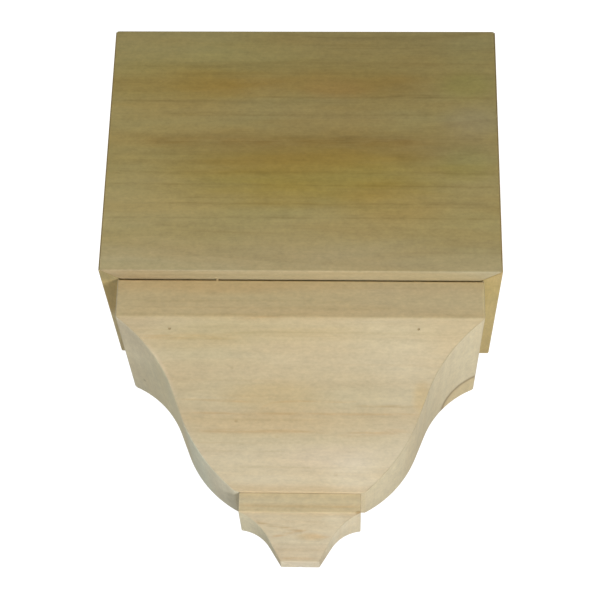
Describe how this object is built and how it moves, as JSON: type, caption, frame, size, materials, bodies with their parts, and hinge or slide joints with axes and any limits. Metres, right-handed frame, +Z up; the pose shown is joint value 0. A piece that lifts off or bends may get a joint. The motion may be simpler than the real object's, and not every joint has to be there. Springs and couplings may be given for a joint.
{
  "type": "crown moulding block",
  "caption": "Wooden block for crown moulding: a hollow box of mitred boards over a mitred ogee moulding and a small stepped drop, with a flat back for the wall.",
  "frame": {"origin": "middle of the back board's rear face, at the height of the box's underside", "axes": "+Z up towards the ceiling, +Y into the wall, -Y out of the decorated front, +X to the right seen from the front"},
  "size_m": [0.16, 0.08, 0.2097],
  "materials": {
    "box_wood": "bare planed pale hardwood with a faint olive cast",
    "back_wood": "bare sawn pale hardwood",
    "crown_wood": "bare moulded pale hardwood",
    "drop_wood": "bare moulded pale hardwood"
  },
  "bodies": {
    "root": {"box_front_board": "box_wood", "box_left_side": "box_wood", "box_right_side": "box_wood", "back_board": "back_wood", "crown_front": "crown_wood", "crown_left_return": "crown_wood", "crown_right_return": "crown_wood", "drop_front": "drop_wood", "drop_left_return": "drop_wood", "drop_right_return": "drop_wood"}
  },
  "joints": []
}
